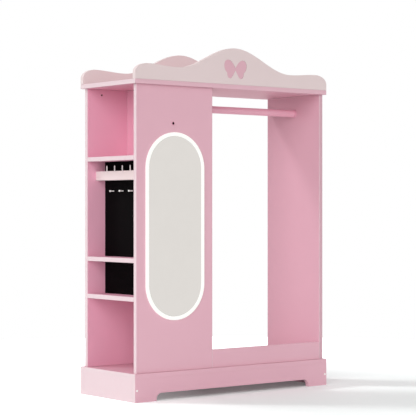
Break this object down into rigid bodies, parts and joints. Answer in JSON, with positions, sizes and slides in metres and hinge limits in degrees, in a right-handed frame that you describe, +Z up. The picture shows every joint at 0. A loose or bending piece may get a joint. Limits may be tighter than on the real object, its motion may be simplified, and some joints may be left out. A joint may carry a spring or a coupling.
{
  "type": "children's dress-up storage unit with mirror",
  "caption": "Pink dress-up storage unit with a lit mirror, a hanging bay, side shelves and a butterfly on its wavy white top.",
  "frame": {"origin": "on the floor, under the middle of the unit's bounding box", "axes": "+Z up; the mirror and the hanging bay's lip face -Y; the open shelves face -X"},
  "size_m": [1, 0.386, 1.405],
  "materials": {
    "pink_board": "satin pink paint on fibreboard",
    "white_board": "satin white paint on fibreboard",
    "black_felt_board": "black felt on fibreboard",
    "pink_steel": "pink powder coat on steel tube",
    "pink_plastic": "satin",
    "white_plastic": "satin",
    "dark_plastic": "matte",
    "opal_diffuser": "opal, glowing",
    "silvered_glass": "polished",
    "black_rubber": "matte",
    "zinc_steel": "zinc plated",
    "beech": "bare beech"
  },
  "bodies": {
    "unit": {"front_apron": "pink_board", "back_apron": "pink_board", "left_apron": "pink_board", "right_apron": "pink_board", "centre_rail": "pink_board", "bottom_board": "pink_board", "mirror_panel": "pink_board", "back_panel": "pink_board", "main_divider": "pink_board", "upper_shelf": "pink_board", "middle_shelf": "pink_board", "lower_shelf": "pink_board", "book_liner": "pink_board", "wiring_cover": "pink_board", "right_panel": "pink_board", "front_lip": "pink_board", "top_board": "pink_board", "butterfly": "pink_board", "front_valance": "white_board", "back_valance": "white_board", "hair_rail": "white_board", "necklace_board": "black_felt_board", "earring_board": "black_felt_board", "hanging_rod": "pink_steel", "rod_socket_left": "pink_plastic", "rod_socket_right": "pink_plastic", "switch_bezel": "pink_plastic", "rail_pegs": "white_plastic", "necklace_pegs": "white_plastic", "screw_caps": "white_plastic", "led_strip": "white_plastic", "led_lead": "white_plastic", "switch_lead": "white_plastic", "light_controller": "white_plastic", "lead_clips": "white_plastic", "switch_body": "dark_plastic", "power_inlet": "dark_plastic", "light_rim": "opal_diffuser", "mirror_glass": "silvered_glass", "mirror_tape": "black_rubber", "supply_lead": "black_rubber", "base_screws": "zinc_steel", "bottom_screws": "zinc_steel", "top_screws": "zinc_steel", "back_screws": "zinc_steel", "socket_screws": "zinc_steel", "rail_screws": "zinc_steel", "controller_screws": "zinc_steel", "cam_locks": "zinc_steel", "cam_bolts": "zinc_steel", "inlet_nut": "zinc_steel", "board_cleats": "beech", "base_dowels": "beech", "shelf_dowels": "beech", "liner_dowels": "beech", "lip_dowels": "beech", "valance_dowels": "beech"},
    "button": {"switch_button": "dark_plastic"}
  },
  "joints": [
    {"name": "switch_press", "type": "slide", "parent": "unit", "child": "button", "axis": [0, 1, 0], "range_m": [0, 0.0015], "stiffness_N_per_m": 600}
  ]
}
